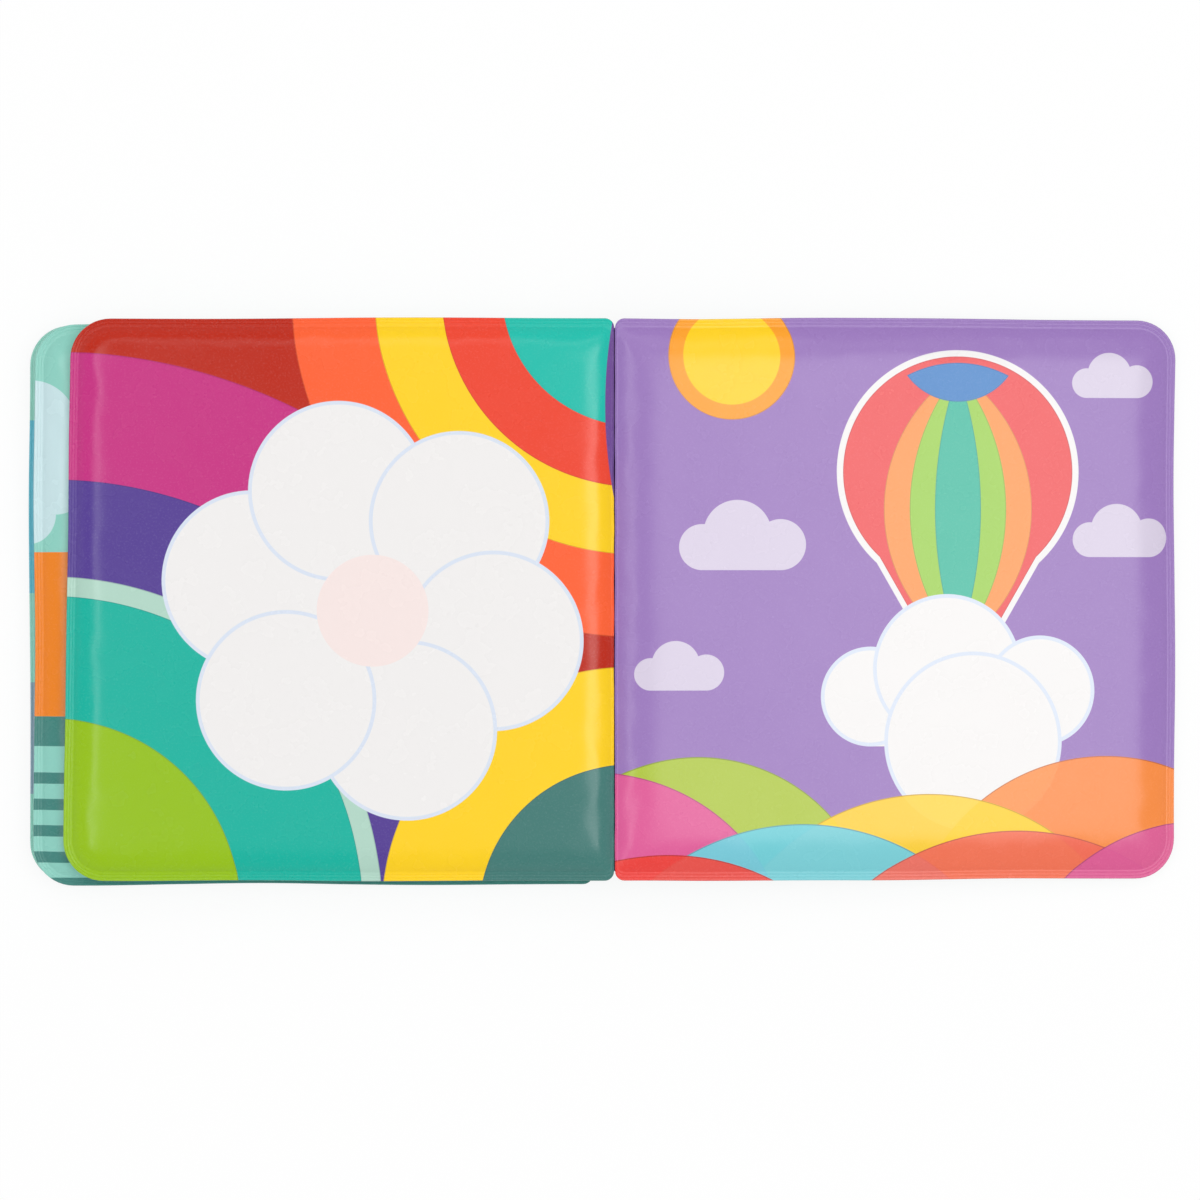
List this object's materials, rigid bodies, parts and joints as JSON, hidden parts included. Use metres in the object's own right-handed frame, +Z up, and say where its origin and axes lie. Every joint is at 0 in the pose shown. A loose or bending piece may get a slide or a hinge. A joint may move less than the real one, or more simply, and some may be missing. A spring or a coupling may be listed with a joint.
{
  "type": "bath book",
  "caption": "Soft padded bath book of four square welded leaves, open at its last spread, with bright printed pages and hinged covers.",
  "frame": {"origin": "centre of the open book's outline seen from above, on the surface it lies on", "axes": "+X across the spread towards the back cover, +Y up the pages, +Z up through the stack"},
  "size_m": [0.3084, 0.1512, 0.0186],
  "materials": {
    "cover_film": "satin",
    "page_film": "satin",
    "edge_mint_ink": "satin",
    "edge_pale_ink": "satin",
    "edge_orange_ink": "satin",
    "edge_teal_ink": "satin",
    "left_rust_ink": "satin",
    "left_magenta_ink": "satin",
    "left_violet_ink": "satin",
    "left_mint_ink": "satin",
    "left_teal_ink": "satin",
    "left_lime_ink": "satin",
    "left_orange_ink": "satin",
    "left_yellow_ink": "satin",
    "left_coral_ink": "satin",
    "left_sea_ink": "satin",
    "left_gold_ink": "satin",
    "left_slate_ink": "satin",
    "left_white_ink": "satin",
    "left_blush_ink": "satin",
    "right_violet_ink": "satin",
    "right_lilac_ink": "satin",
    "right_sun_rim_ink": "satin",
    "right_sun_ink": "satin",
    "right_outline_ink": "satin",
    "right_red_ink": "satin",
    "right_orange_ink": "satin",
    "right_lime_ink": "satin",
    "right_teal_ink": "satin",
    "right_blue_ink": "satin",
    "right_cloud_ink": "satin",
    "hill_orange_ink": "satin",
    "hill_lime_ink": "satin",
    "hill_yellow_ink": "satin",
    "hill_pink_ink": "satin",
    "hill_cyan_ink": "satin",
    "hill_coral_ink": "satin",
    "hill_magenta_ink": "satin",
    "hill_red_ink": "satin"
  },
  "bodies": {
    "back_cover": {"back_cover": "cover_film", "right_violet": "right_violet_ink", "right_lilac": "right_lilac_ink", "right_sun_rim": "right_sun_rim_ink", "right_sun": "right_sun_ink", "right_outline": "right_outline_ink", "right_red": "right_red_ink", "right_orange": "right_orange_ink", "right_lime": "right_lime_ink", "right_teal": "right_teal_ink", "right_blue": "right_blue_ink", "right_cloud": "right_cloud_ink", "hill_orange": "hill_orange_ink", "hill_lime": "hill_lime_ink", "hill_yellow": "hill_yellow_ink", "hill_pink": "hill_pink_ink", "hill_cyan": "hill_cyan_ink", "hill_coral": "hill_coral_ink", "hill_magenta": "hill_magenta_ink", "hill_red": "hill_red_ink"},
    "pages": {"pages": "page_film", "edge_mint": "edge_mint_ink", "edge_pale": "edge_pale_ink", "edge_orange": "edge_orange_ink", "edge_teal": "edge_teal_ink", "left_rust": "left_rust_ink", "left_magenta": "left_magenta_ink", "left_violet": "left_violet_ink", "left_mint": "left_mint_ink", "left_teal": "left_teal_ink", "left_lime": "left_lime_ink", "left_orange": "left_orange_ink", "left_yellow": "left_yellow_ink", "left_coral": "left_coral_ink", "left_sea": "left_sea_ink", "left_gold": "left_gold_ink", "left_slate": "left_slate_ink", "left_white": "left_white_ink", "left_blush": "left_blush_ink"},
    "front_cover": {"front_cover": "cover_film"}
  },
  "joints": [
    {"name": "pages_fold", "type": "hinge", "parent": "back_cover", "child": "pages", "pos_m": [0.0033, 0, 0.01875], "axis": [0, 1, 0], "range_deg": [0, 185]},
    {"name": "front_cover_fold", "type": "hinge", "parent": "pages", "child": "front_cover", "pos_m": [-0.0023, 0, 0.00625], "axis": [0, -1, 0], "range_deg": [0, 174]}
  ]
}
